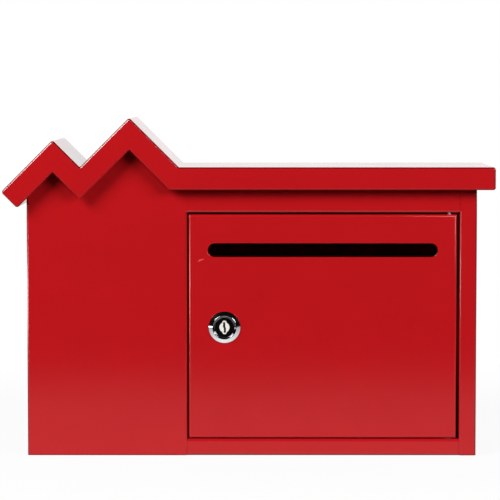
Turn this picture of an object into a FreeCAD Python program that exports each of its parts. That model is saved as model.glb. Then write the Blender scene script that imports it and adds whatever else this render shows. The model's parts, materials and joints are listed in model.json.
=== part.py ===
import FreeCAD, Part
import math
import os

from FreeCAD import Vector

# A wall-mounted letterbox of folded sheet steel. Sizes are in millimetres.
# X runs to the right, Y from the front to the wall and Z up.
# The origin lies on the wall, at the centre of the four wall screws.

# Sheet steel
sheet = 1.0
bend_radius = 1.0
edge_radius = 1.6
lap_gap = 0.05
weld_flange = 10.0
same_place = 1e-6

# Cabinet
cabinet_width = 349.0
cabinet_depth = 98.0
left_panel_width = 124.4
stile_width = 13.4
bottom_rail_height = 12.9
rail_return = 12.0
seam_gap = 0.2

# Roof, from its left end to its right end
eave_run = 40.0
small_gable_run = 20.9
large_gable_run = 38.1
flat_run = 243.8
gable_slope = 45.0
roof_height = 224.8
right_overhang = 13.3
front_overhang = 12.0
lip_height = 17.6
lip_corner_radius = 2.0

# Door, with the gaps that show round it
door_height = 174.2
door_depth = 15.0
top_gap = 1.45
bottom_gap = 0.7
latch_gap = 1.2
hinge_gap = 2.1
stop_gap = 0.6
stop_width = 9.0

# Letter slot
slot_length = 178.2
slot_height = 10.7
slot_below_top = 27.6

# Wall screws
screw_spacing_x = 240.0
screw_spacing_z = 130.0
screw_hole_diameter = 6.5
screw_center_height = 112.6

# Hinge pins
pin_diameter = 3.0
pin_from_edge = 5.8
pin_behind_face = 4.5
pin_reach = 2.0
pin_head_diameter = 4.8
pin_head_height = 1.2
pin_play = 0.05
pin_seat_gap = 0.02
washer_diameter = 6.4
washer_play = 0.1

# Lock: place on the door
lock_from_edge = 27.8
lock_above_bottom = 86.7

# Lock: housing
bezel_diameter = 24.6
bezel_height = 2.9
bezel_edge = 0.7
rim_diameter = 18.8
rim_step_diameter = 17.4
rim_step = 0.3
barrel_diameter = 18.0
barrel_flats = 15.6
barrel_play = 0.1
thread_gap = 0.02

# Lock: plug
plug_diameter = 11.0
plug_head_diameter = 15.4
plug_head_thickness = 1.3
plug_face_depth = 0.2
face_ring_thickness = 0.8
face_ring_gap = 0.05
keyhole_diameter = 7.8
keyhole_height = 10.6
keyhole_wing_width = 3.4
keyway_height = 8.3
keyway_width = 1.6
keyway_lean = 0.3
keyway_depth = 12.0
plug_play = 0.05
plug_head_play = 0.1
end_play = 0.2
square_size = 6.5
square_play = 0.05

# Lock: tumbler plates and their springs
wafer_count = 5
wafer_thickness = 1.0
wafer_pitch = 1.8
wafer_width = 6.4
wafer_inset = 0.1
wafer_window_width = 2.6
wafer_window_height = 6.4
wafer_play = 0.05
wafer_groove_depth = 1.2
lug_length = 1.4
lug_height = 0.8
lug_base = 1.5
spring_diameter = 1.0
spring_wire = 0.2
spring_length = 3.4
spring_turns = 4

# Lock: nut, washers, cam and screw
lock_washer_diameter = 23.0
lock_washer_thickness = 0.8
lock_nut_flats = 22.0
lock_nut_thickness = 4.0
turn_angle = 90.0
stop_disc_diameter = 17.0
stop_disc_thickness = 1.0
stop_boss_diameter = 1.8
stop_boss_radius = 7.0
stop_boss_angle = 45.0
stop_boss_play = 0.3
cam_gap = 0.6
cam_width = 16.0
cam_thickness = 2.0
cam_reach = 33.5
cam_tip_radius = 3.0
cam_washer_diameter = 8.0
cam_washer_thickness = 1.0
cam_washer_play = 0.1
cam_washer_split = 0.8
cam_screw_diameter = 4.0
cam_screw_length = 11.0
cam_screw_flats = 7.0
cam_screw_head = 2.8
cam_screw_tip_gap = 1.0

# Places that follow from these sizes
base = -screw_center_height
front = -cabinet_depth
half_width = cabinet_width / 2
roof_top = base + roof_height
roof_front = front - front_overhang
fold_radius = bend_radius + sheet
lip_thickness = 2 * sheet
inside = half_width - sheet - lap_gap

opening_left = -half_width + left_panel_width
opening_right = half_width - stile_width
opening_bottom = base + bottom_rail_height
door_left = opening_left + latch_gap
door_right = opening_right - hinge_gap
door_bottom = opening_bottom + bottom_gap
door_top = door_bottom + door_height
opening_top = door_top + top_gap
stop_front = front + door_depth + stop_gap

pin_x = door_right - pin_from_edge
pin_y = front + pin_behind_face
lock_x = door_left + lock_from_edge
lock_z = door_bottom + lock_above_bottom

# Depths in the lock, behind the door's face
cam_front = door_depth + stop_gap + sheet + cam_gap
cam_back = cam_front + cam_thickness
disc_front = cam_front - stop_disc_thickness
barrel_length = disc_front - end_play
rim_depth = rim_step - bezel_height
plug_face = rim_depth + plug_face_depth
plug_head_front = plug_face + face_ring_thickness
plug_head_back = plug_head_front + plug_head_thickness
counterbore_depth = plug_head_back + end_play

ACROSS_PLAN = Vector(0, 0, 1)
ACROSS_FRONT = Vector(0, 1, 0)
ACROSS_SIDE = Vector(1, 0, 0)


def box(x0, x1, y0, y1, z0, z1):
    return Part.makeBox(x1 - x0, y1 - y0, z1 - z0, Vector(x0, y0, z0))


def upright(diameter, x, y, z0, z1):
    """A round bar along Z."""
    return Part.makeCylinder(diameter / 2, z1 - z0, Vector(x, y, z0))


def level(diameter, x, z, y0, y1):
    """A round bar along Y."""
    return Part.makeCylinder(diameter / 2, y1 - y0, Vector(x, y0, z), Vector(0, 1, 0))


def moved_line(points, across, distance):
    """A line of points moved to its left in the plane across, with mitred corners."""
    sides = [across.cross(end - start).normalize() for start, end in zip(points, points[1:])]
    moved = [points[0] + sides[0] * distance]
    for corner, before, after in zip(points[1:], sides, sides[1:]):
        moved.append(corner + (before + after) * (distance / (1 + before.dot(after))))
    moved.append(points[-1] + sides[-1] * distance)
    return moved


def fold_radii(points, across, depth):
    """Radius at each fold of a sheet whose skin follows the points, at a depth under that skin."""
    radii = []
    for before, corner, after in zip(points, points[1:], points[2:]):
        turns_left = (corner - before).cross(after - corner).dot(across) > 0
        radii.append(fold_radius - depth if turns_left else bend_radius + depth)
    return radii


def rounded_edges(points, radii):
    """Edges along a line of points, with an arc at each corner between its ends."""
    edges = []
    start = points[0]
    for before, corner, after, radius in zip(points, points[1:], points[2:], radii):
        into = (corner - before).normalize()
        out = (after - corner).normalize()
        half_turn = into.getAngle(out) / 2
        setback = radius * math.tan(half_turn)
        towards_center = (out - into).normalize()
        middle = corner + towards_center * (radius / math.cos(half_turn) - radius)
        arc_start = corner - into * setback
        arc_end = corner + out * setback
        edges.append(Part.makeLine(start, arc_start))
        edges.append(Part.Arc(arc_start, middle, arc_end).toShape())
        start = arc_end
    edges.append(Part.makeLine(start, points[-1]))
    return edges


def plate(edges, thickness):
    """A flat outline of edges, extruded along a vector."""
    return Part.Face(Part.Wire(Part.__sortEdges__(edges))).extrude(thickness)


def lines(points):
    return [Part.makeLine(start, end) for start, end in zip(points, points[1:])]


def folded_sheet(points, across, length):
    """A folded sheet: its skin follows the points, its thickness lies to their left."""
    skin = rounded_edges(points, fold_radii(points, across, 0))
    back_points = moved_line(points, across, sheet)
    back = rounded_edges(back_points, fold_radii(points, across, sheet))
    ends = lines([points[0], back_points[0]]) + lines([points[-1], back_points[-1]])
    return plate(skin + back + ends, across * length)


def edges_at_front(shape, y):
    """The edges that lie wholly at a depth y."""
    spans = [(edge, edge.BoundBox) for edge in shape.Edges]
    return [edge for edge, span in spans if max(abs(span.YMin - y), abs(span.YMax - y)) < same_place]


def roof_line():
    """The skin of the roof's top at its front, from the left eave to the right end."""
    slope = math.tan(math.radians(gable_slope))
    right = half_width + right_overhang
    valley_right = right - flat_run
    large_peak = valley_right - large_gable_run
    valley_left = large_peak - large_gable_run
    small_peak = valley_left - small_gable_run
    eave = small_peak - eave_run
    large_top = roof_top + large_gable_run * slope
    small_top = roof_top + small_gable_run * slope
    eave_top = small_top - eave_run * slope
    line = [(eave, eave_top), (small_peak, small_top), (valley_left, roof_top)]
    line += [(large_peak, large_top), (valley_right, roof_top), (right, roof_top)]
    return [Vector(x, roof_front, z) for x, z in line]


def under_roof(shape):
    """What is left of a shape below the roof's underside."""
    line = roof_line()
    depth = sheet + lap_gap
    underside = moved_line(line, ACROSS_FRONT, depth)
    above = Vector(0, 0, shape.BoundBox.ZLength)
    sides = lines([underside[-1], underside[-1] + above, underside[0] + above, underside[0]])
    underside_edges = rounded_edges(underside, fold_radii(line, ACROSS_FRONT, depth))
    return shape.cut(plate(underside_edges + sides, Vector(0, front_overhang + cabinet_depth, 0)))


def standing_sheet(plan):
    """A sheet folded along a plan, from the base up to the roof's underside."""
    skin = [Vector(x, y, base) for x, y in plan]
    height = max(point.z for point in roof_line()) - base
    return under_roof(folded_sheet(skin, ACROSS_PLAN, height))


def roof():
    """One zigzag sheet, with hemmed lips of double thickness at the ends and along the front."""
    line = roof_line()
    along_eave = (line[1] - line[0]).normalize()
    down_eave = ACROSS_FRONT.cross(along_eave)
    down = Vector(0, 0, -1)
    to_wall = Vector(0, front_overhang + cabinet_depth, 0)
    skin = [line[0] + down_eave * lip_height] + line + [line[-1] + down * lip_height]
    lower_line = moved_line(line, ACROSS_FRONT, lip_height)[1:-1]
    outline = [lower_line[0]] + skin + [lower_line[-1]]
    radii = [lip_corner_radius] + fold_radii(skin, ACROSS_FRONT, 0) + [lip_corner_radius]
    band = plate(rounded_edges(outline, radii) + lines(lower_line), to_wall)
    band = band.makeFillet(min(edge_radius, lip_thickness - lap_gap), edges_at_front(band, roof_front))
    underside = moved_line(line, ACROSS_FRONT, sheet)
    underside[0] = underside[0] + along_eave * lip_thickness
    underside[-1] = underside[-1] - Vector(lip_thickness, 0, 0)
    below_lips = 3 * lip_height
    low_corners = [underside[-1] + down * below_lips, underside[0] + down_eave * below_lips]
    sides = lines([underside[-1]] + low_corners + [underside[0]])
    hollow = plate(rounded_edges(underside, fold_radii(line, ACROSS_FRONT, sheet)) + sides, to_wall)
    hollow.translate(Vector(0, lip_thickness, 0))
    return band.cut(hollow)


def left_panel():
    """Fixed front panel, left side, door return and stop lip, folded from one sheet."""
    plan = [(-half_width, 0), (-half_width, front), (opening_left, front)]
    plan += [(opening_left, stop_front), (opening_left + stop_width, stop_front)]
    over_floor = box(opening_left - 2 * fold_radius, opening_left + stop_width,
                     front + sheet + lap_gap, stop_front + 2 * sheet, base, base + sheet + lap_gap)
    return standing_sheet(plan).cut(over_floor)


def right_panel():
    """Stile, right side and door return, folded from one sheet."""
    plan = [(opening_right, front + rail_return), (opening_right, front)]
    plan += [(half_width, front), (half_width, 0)]
    over_floor = box(opening_right, opening_right + 2 * fold_radius,
                     front + sheet + lap_gap, front + rail_return, base, base + sheet + lap_gap)
    return standing_sheet(plan).cut(over_floor)


def back_panel():
    """Back sheet with two side flanges and the four wall screw holes."""
    plan = [(inside, -weld_flange), (inside, 0), (-inside, 0), (-inside, -weld_flange)]
    over_floor = box(-half_width, half_width, -weld_flange, -sheet - lap_gap,
                     base, base + weld_flange + sheet)
    panel = standing_sheet(plan).cut(over_floor)
    for x in (-screw_spacing_x / 2, screw_spacing_x / 2):
        for z in (-screw_spacing_z / 2, screw_spacing_z / 2):
            panel = panel.cut(level(screw_hole_diameter, x, z, -2 * sheet, sheet))
    return panel


def rail(side):
    """A rail between the two front panels, folded along its side view."""
    left = opening_left + seam_gap
    right = opening_right - seam_gap
    return folded_sheet([Vector(left, y, z) for y, z in side], ACROSS_SIDE, right - left)


def pin_seat(z0, z1):
    return upright(pin_diameter + 2 * pin_seat_gap, pin_x, pin_y, z0, z1)


def floor_panel():
    """Floor tray with three flanges; its front fold is the rail below the door."""
    back = -sheet - lap_gap
    tray_front = front + sheet + lap_gap
    tray = box(-inside, inside, tray_front, back, base, base + weld_flange)
    front_edges = edges_at_front(tray, tray_front)
    tray = tray.makeFillet(fold_radius, [edge for edge in front_edges if edge.BoundBox.XLength < same_place])
    hollow = box(-inside + sheet, inside - sheet, front, back - sheet, base + sheet, base + 2 * weld_flange)
    side = [(front + rail_return, opening_bottom), (front, opening_bottom)]
    side += [(front, base), (front + rail_return, base)]
    floor = tray.cut(hollow).fuse(rail(side)).removeSplitter()
    return floor.cut(pin_seat(opening_bottom - 2 * sheet, opening_bottom + sheet))


def header_rail():
    """Rail above the door, folded back under the roof and over the door."""
    top = roof_top - sheet - lap_gap
    side = [(front + rail_return, top), (front, top)]
    side += [(front, opening_top), (front + rail_return, opening_top)]
    return rail(side).cut(pin_seat(opening_top - sheet, opening_top + 2 * sheet))


def lock_barrel(play):
    """The barrel's section, round with two flats, as long as the barrel."""
    radius = barrel_diameter / 2 + play
    half_flats = barrel_flats / 2 + play
    bar = level(2 * radius, lock_x, lock_z, front, front + barrel_length)
    flats = box(lock_x - half_flats, lock_x + half_flats, front, front + barrel_length,
                lock_z - radius, lock_z + radius)
    return bar.common(flats)


def door():
    """Pan with four returns, a letter slot, a lock hole and two pivot holes."""
    pan = box(door_left, door_right, front, front + door_depth, door_bottom, door_top)
    pan = pan.makeFillet(fold_radius, edges_at_front(pan, front))
    hollow = box(door_left + sheet, door_right - sheet, front + sheet, front + 2 * door_depth,
                 door_bottom + sheet, door_top - sheet)
    hollow = hollow.makeFillet(bend_radius, edges_at_front(hollow, front + sheet))
    slot_x = (door_left + door_right) / 2
    slot_z = door_top - slot_below_top
    reach = (slot_length - slot_height) / 2
    through = (front - sheet, front + 2 * sheet)
    slot = box(slot_x - reach, slot_x + reach, *through, slot_z - slot_height / 2, slot_z + slot_height / 2)
    for x in (slot_x - reach, slot_x + reach):
        slot = slot.fuse(level(slot_height, x, slot_z, *through))
    pivot = upright(pin_diameter + 2 * pin_play, pin_x, pin_y, opening_bottom, opening_top)
    return pan.cut(hollow).cut(slot).cut(lock_barrel(barrel_play)).cut(pivot)


def hinge_pin(head_end, tip_end):
    """Headed pin: the head lies against the rail, the tip is in the door."""
    towards_head = math.copysign(1, head_end - tip_end)
    head_top = head_end + towards_head * pin_head_height
    shank = upright(pin_diameter, pin_x, pin_y, min(head_end, tip_end), max(head_end, tip_end))
    head = upright(pin_head_diameter, pin_x, pin_y, min(head_end, head_top), max(head_end, head_top))
    return shank.fuse(head).removeSplitter()


def hinge_washer():
    """Washer between the bottom rail and the door."""
    top = door_bottom - washer_play
    ring = upright(washer_diameter, pin_x, pin_y, opening_bottom, top)
    return ring.cut(upright(pin_diameter + 2 * pin_play, pin_x, pin_y, opening_bottom, top))


def turned(profile, angle):
    """A solid turned about the lock's axis, from pairs of radius and depth behind the door's face.

    It starts at the right of the axis and goes on downwards.
    """
    points = [Vector(lock_x + radius, front + depth, lock_z) for radius, depth in profile]
    face = Part.Face(Part.makePolygon(points + points[:1]))
    return face.revolve(Vector(lock_x, front, lock_z), Vector(0, 1, 0), angle)


def bar(diameter, start, end):
    """A round bar on the lock's axis, between two depths behind the door's face."""
    return level(diameter, lock_x, lock_z, front + start, front + end)


def block(left, right, bottom, top, start, end):
    """A block placed from the lock's axis, between two depths behind the door's face."""
    return box(lock_x + left, lock_x + right, front + start, front + end, lock_z + bottom, lock_z + top)


def hexagon(flats, start, end):
    """A hexagonal bar on the lock's axis."""
    corner_radius = flats / math.sqrt(3)
    corners = []
    for place in range(6):
        angle = math.tau * place / 6
        offset = Vector(math.cos(angle), 0, math.sin(angle)) * corner_radius
        corners.append(Vector(lock_x, front + start, lock_z) + offset)
    return plate(lines(corners + corners[:1]), Vector(0, end - start, 0))


def keyhole(play, start, end):
    """Round boss with a wing above and below, which stands in the black ring."""
    wing_radius = keyhole_wing_width / 2 + play
    wing_center = keyhole_height / 2 - keyhole_wing_width / 2
    shape = bar(keyhole_diameter + 2 * play, start, end)
    shape = shape.fuse(block(-wing_radius, wing_radius, -wing_center, wing_center, start, end))
    for z in (lock_z - wing_center, lock_z + wing_center):
        shape = shape.fuse(level(2 * wing_radius, lock_x, z, front + start, front + end))
    return shape.removeSplitter()


def wafer_starts():
    """Depth of each tumbler plate behind the door's face."""
    return [wafer_pitch * place for place in range(wafer_count)]


def lock_housing():
    """Die-cast head and barrel, with grooves for the tumbler plates and a boss that stops the turn."""
    bezel = bezel_diameter / 2
    rim = rim_diameter / 2
    step = rim_step_diameter / 2
    profile = [(0, 0), (bezel, 0), (bezel, -bezel_edge), (rim, -bezel_height), (step, -bezel_height)]
    profile += [(step, rim_depth), (0, rim_depth)]
    body = turned(profile, 360).fuse(lock_barrel(0))
    body = body.cut(bar(plug_head_diameter + 2 * plug_head_play, -2 * bezel_height, counterbore_depth))
    body = body.cut(bar(plug_diameter + 2 * plug_play, counterbore_depth, barrel_length))
    groove_side = wafer_width / 2 + wafer_play
    groove_end = plug_diameter / 2 + wafer_groove_depth
    groove_back = wafer_starts()[-1] + wafer_pitch
    body = body.cut(block(-groove_side, groove_side, -groove_end, groove_end,
                          counterbore_depth, groove_back))
    angle = math.radians(stop_boss_angle)
    boss_x = lock_x + stop_boss_radius * math.cos(angle)
    boss_z = lock_z + stop_boss_radius * math.sin(angle)
    boss_start = front + barrel_length - stop_disc_thickness
    boss = level(stop_boss_diameter, boss_x, boss_z, boss_start, front + cam_front - end_play)
    return body.fuse(boss).removeSplitter()


def lock_plug():
    """Turning plug: keyway at the front, slots for the plates, square end for the cam."""
    half_square = square_size / 2
    square_end = cam_back - end_play
    plug = bar(plug_head_diameter, plug_head_front, plug_head_back)
    plug = plug.fuse(keyhole(0, plug_face, plug_head_front))
    plug = plug.fuse(bar(plug_diameter, plug_head_back, disc_front))
    plug = plug.fuse(block(-half_square, half_square, -half_square, half_square, disc_front, square_end))
    half_width_of_key = keyway_width / 2
    keyway_end = plug_face + keyway_depth
    upper = block(-half_width_of_key - keyway_lean, half_width_of_key - keyway_lean,
                  0, keyway_height / 2, 2 * plug_face, keyway_end)
    lower = block(-half_width_of_key + keyway_lean, half_width_of_key + keyway_lean,
                  -keyway_height / 2, 0, 2 * plug_face, keyway_end)
    plug = plug.cut(upper.fuse(lower))
    side = wafer_width / 2 + wafer_play
    pocket_side = wafer_width / 2 + lug_length + wafer_play
    pocket_top = lug_base + lug_height + wafer_play
    pocket_bottom = lug_base - spring_length
    for start in wafer_starts():
        room = (start - wafer_play, start + wafer_thickness + wafer_play)
        plug = plug.cut(block(-side, side, -plug_diameter, plug_diameter, *room))
        plug = plug.cut(block(0, pocket_side, pocket_bottom, pocket_top, *room))
    thread_start = cam_back + cam_washer_thickness - cam_screw_length - cam_screw_tip_gap
    thread = bar(cam_screw_diameter + 2 * thread_gap, thread_start, cam_back)
    return plug.cut(thread).removeSplitter()


def lock_face():
    """Black ring round the keyhole."""
    ring = bar(plug_head_diameter, plug_face, plug_head_front)
    return ring.cut(keyhole(face_ring_gap, plug_face, plug_head_front))


def lock_wafers():
    """Tumbler plates, drawn back into the plug as the key holds them."""
    half_side = wafer_width / 2
    half_window = wafer_window_width / 2
    wafers = []
    for start in wafer_starts():
        end = start + wafer_thickness
        plate = block(-half_side, half_side, -plug_diameter, plug_diameter, start, end)
        plate = plate.common(bar(plug_diameter - 2 * wafer_inset, start, end))
        lug = block(0, half_side + lug_length, lug_base, lug_base + lug_height, start, end)
        window = block(-half_window, half_window,
                       -wafer_window_height / 2, wafer_window_height / 2, start, end)
        wafers.append(plate.fuse(lug).cut(window).removeSplitter())
    return Part.makeCompound(wafers)


def wafer_springs():
    """One coil spring under the lug of each plate."""
    coil_radius = (spring_diameter - spring_wire) / 2
    height = spring_length - spring_wire - 2 * wafer_play
    path = Part.Wire(Part.makeHelix(height / spring_turns, height, coil_radius).Edges)
    section = Part.Wire(Part.makeCircle(spring_wire / 2, Vector(coil_radius, 0, 0), Vector(0, 1, 0)))
    coil = path.makePipeShell([section], True, True)
    springs = []
    for start in wafer_starts():
        spring = coil.copy()
        x = lock_x + wafer_width / 2 + lug_length / 2
        y = front + start + wafer_thickness / 2
        z = lock_z + lug_base - spring_length + spring_wire / 2 + wafer_play
        spring.translate(Vector(x, y, z))
        springs.append(spring)
    return Part.makeCompound(springs)


def lock_washer():
    """Washer between the door's inside and the nut."""
    ring = bar(lock_washer_diameter, sheet, sheet + lock_washer_thickness)
    return ring.cut(lock_barrel(barrel_play))


def lock_nut():
    """Hexagon nut on the barrel."""
    start = sheet + lock_washer_thickness
    end = start + lock_nut_thickness
    return hexagon(lock_nut_flats, start, end).cut(bar(barrel_diameter + 2 * thread_gap, start, end))


def square_hole(start, end):
    half_hole = square_size / 2 + square_play
    return block(-half_hole, half_hole, -half_hole, half_hole, start, end)


def turn_stop():
    """Disc on the plug's square, with a notch that lets the housing's boss pass a quarter turn."""
    room = stop_boss_diameter / 2 + stop_boss_play
    margin = math.degrees(math.asin(room / stop_boss_radius))
    notch_floor = stop_boss_radius - room
    profile = [(notch_floor, disc_front), (stop_disc_diameter, disc_front)]
    profile += [(stop_disc_diameter, cam_front), (notch_floor, cam_front)]
    notch = turned(profile, turn_angle + 2 * margin)
    notch_end = stop_boss_angle + turn_angle + margin
    notch.rotate(Vector(lock_x, front, lock_z), Vector(0, 1, 0), -notch_end)
    disc = bar(stop_disc_diameter, disc_front, cam_front)
    return disc.cut(notch).cut(square_hole(disc_front, cam_front))


def lock_cam():
    """Tongue that hangs down while unlocked and turns behind the stop lip."""
    half_cam = cam_width / 2
    corners = [(-half_cam, 0), (-half_cam, -cam_reach), (half_cam, -cam_reach), (half_cam, 0)]
    points = [Vector(lock_x + x, front + cam_front, lock_z + z) for x, z in corners]
    edges = rounded_edges(points, [cam_tip_radius, cam_tip_radius]) + lines([points[-1], points[0]])
    tongue = plate(edges, Vector(0, cam_thickness, 0))
    tongue = tongue.fuse(bar(cam_width, cam_front, cam_back)).removeSplitter()
    return tongue.cut(square_hole(cam_front, cam_back))


def cam_washer():
    """Split spring washer under the cam screw."""
    end = cam_back + cam_washer_thickness
    ring = bar(cam_washer_diameter, cam_back, end)
    ring = ring.cut(bar(cam_screw_diameter + 2 * cam_washer_play, cam_back, end))
    half_split = cam_washer_split / 2
    return ring.cut(block(-half_split, half_split, 0, cam_washer_diameter, cam_back, end))


def cam_screw():
    """Hexagon screw in the plug's end."""
    seat = cam_back + cam_washer_thickness
    shank = bar(cam_screw_diameter, seat - cam_screw_length, seat)
    return shank.fuse(hexagon(cam_screw_flats, seat, seat + cam_screw_head)).removeSplitter()


def build():
    """Every piece by the name of its node."""
    top_seat = opening_top + sheet
    bottom_seat = opening_bottom - sheet
    return {
        "roof": roof(),
        "left_panel": left_panel(),
        "right_panel": right_panel(),
        "back_panel": back_panel(),
        "floor_panel": floor_panel(),
        "header_rail": header_rail(),
        "hinge_pin_top": hinge_pin(top_seat, door_top - sheet - pin_reach),
        "hinge_pin_bottom": hinge_pin(bottom_seat, door_bottom + sheet + pin_reach),
        "hinge_washer": hinge_washer(),
        "door": door(),
        "lock_housing": lock_housing(),
        "lock_washer": lock_washer(),
        "lock_nut": lock_nut(),
        "lock_plug": lock_plug(),
        "lock_face": lock_face(),
        "lock_wafers": lock_wafers(),
        "wafer_springs": wafer_springs(),
        "turn_stop": turn_stop(),
        "lock_cam": lock_cam(),
        "cam_washer": cam_washer(),
        "cam_screw": cam_screw(),
    }


os.makedirs("parts", exist_ok=True)
for name, shape in build().items():
    shape.exportStep("parts/" + name + ".step")
    print(name, len(shape.Solids), "solids", round(shape.Volume, 2), "mm3", shape.isValid())
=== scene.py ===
import bpy
import json
import math
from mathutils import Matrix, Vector

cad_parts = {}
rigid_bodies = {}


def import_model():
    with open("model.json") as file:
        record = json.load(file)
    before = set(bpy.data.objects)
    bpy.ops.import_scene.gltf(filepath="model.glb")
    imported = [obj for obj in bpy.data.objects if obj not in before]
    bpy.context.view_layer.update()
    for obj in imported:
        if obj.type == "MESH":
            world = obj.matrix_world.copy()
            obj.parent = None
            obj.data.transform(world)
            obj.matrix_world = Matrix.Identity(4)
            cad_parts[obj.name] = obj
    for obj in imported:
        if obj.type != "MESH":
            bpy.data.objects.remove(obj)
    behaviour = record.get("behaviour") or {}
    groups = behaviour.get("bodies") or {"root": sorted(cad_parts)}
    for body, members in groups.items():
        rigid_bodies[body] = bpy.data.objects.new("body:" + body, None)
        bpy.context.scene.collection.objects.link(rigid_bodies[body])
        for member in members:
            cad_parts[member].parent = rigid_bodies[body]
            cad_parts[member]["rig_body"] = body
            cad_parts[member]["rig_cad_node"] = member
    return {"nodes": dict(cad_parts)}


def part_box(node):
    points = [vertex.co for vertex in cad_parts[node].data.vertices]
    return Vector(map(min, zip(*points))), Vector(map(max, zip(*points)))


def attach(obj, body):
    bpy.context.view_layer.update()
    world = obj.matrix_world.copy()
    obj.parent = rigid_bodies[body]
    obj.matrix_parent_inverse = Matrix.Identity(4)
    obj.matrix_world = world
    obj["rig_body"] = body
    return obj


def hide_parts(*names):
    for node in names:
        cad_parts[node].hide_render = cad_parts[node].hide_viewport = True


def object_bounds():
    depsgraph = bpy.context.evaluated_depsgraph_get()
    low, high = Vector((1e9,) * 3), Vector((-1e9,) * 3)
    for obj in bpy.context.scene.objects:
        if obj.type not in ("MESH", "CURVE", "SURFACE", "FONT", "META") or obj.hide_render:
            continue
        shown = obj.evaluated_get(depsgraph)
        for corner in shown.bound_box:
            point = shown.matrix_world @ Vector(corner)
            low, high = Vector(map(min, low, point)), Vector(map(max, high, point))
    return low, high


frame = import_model()
cad_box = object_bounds()
nodes = frame["nodes"]


# Cabinet shell: back, two sides, floor tray, header rail and zigzag roof, all of 1 mm mild steel sheet.
# Cut flat, folded on a brake and spot-welded through its flanges, then sprayed with red polyester powder
# and baked; the film settles thickest on the roof, whose dulled top shines only at a low angle.
MM = 0.001


def linear(hex_colour):
    """The linear RGBA of an sRGB hex colour."""
    channels = [int(hex_colour[place:place + 2], 16) / 255 for place in (1, 3, 5)]
    return [c / 12.92 if c <= 0.04045 else ((c + 0.055) / 1.055) ** 2.4 for c in channels] + [1.0]


def add(tree, kind, inputs, **settings):
    """Adds a node: inputs are values or the sockets that feed it, settings are its own properties."""
    node = tree.nodes.new(kind)
    for name, value in settings.items():
        setattr(node, name, value)
    for socket, value in inputs.items():
        if isinstance(value, bpy.types.NodeSocket):
            tree.links.new(value, node.inputs[socket])
        else:
            node.inputs[socket].default_value = value
    return node


def new_material(name):
    """An empty node material, with its tree and its output node."""
    material = bpy.data.materials.new(name)
    material.use_nodes = True
    material.node_tree.nodes.clear()
    return material, material.node_tree, material.node_tree.nodes.new("ShaderNodeOutputMaterial")


def dress(piece, material):
    """Gives a piece one material."""
    piece.data.materials.clear()
    piece.data.materials.append(material)


PAINT_RED = "#BC171C"
PAINT_RED_CLOUD = "#B51419"
# Painted shade: the darker red painted over bends, on the cabinet's outer rim and along its foot.
PAINT_RED_SHADE = "#560709"
PAINT_IOR = 1.5
PAINT_SPECULAR = 0.5
PAINT_ROUGHNESS = (0.11, 0.15)
CLOUD_WIDTH = 30 * MM
CLOUD_SPREAD = (0.3, 0.7)
# The width and the height of each relief in the surface.
SHEET_WAVE = (90 * MM, 0.05 * MM)
ORANGE_PEEL = (2.2 * MM, 0.006 * MM)
PAINT_GRAIN = (0.5 * MM, 0.0012 * MM)
# How squarely a surface faces along an axis or a 45 degree slope: 1 on flat sheet, less on a bend.
SLOPE_SHARE = math.sqrt(0.5)
FLAT_SHEET = 0.97
RUBBED_BEND = 0.92
FULL_BEND = 0.80
# The rise of the normal over which an underside turns into a side, and how little of the painted bend
# shade and the rubbed shine shows below.
UNDERSIDE = (-0.25, 0.05)
UNDERSIDE_SHARE = 0.1
# How far in from the cabinet's sides and foot bends get the stronger painted shade, and the height of
# the painted shade line along the foot.
OUTER_RIM = 6 * MM
FOOT_SHADE_LINE = 1.5 * MM
side_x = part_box("right_panel")[1].x
foot_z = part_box("right_panel")[0].z


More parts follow.
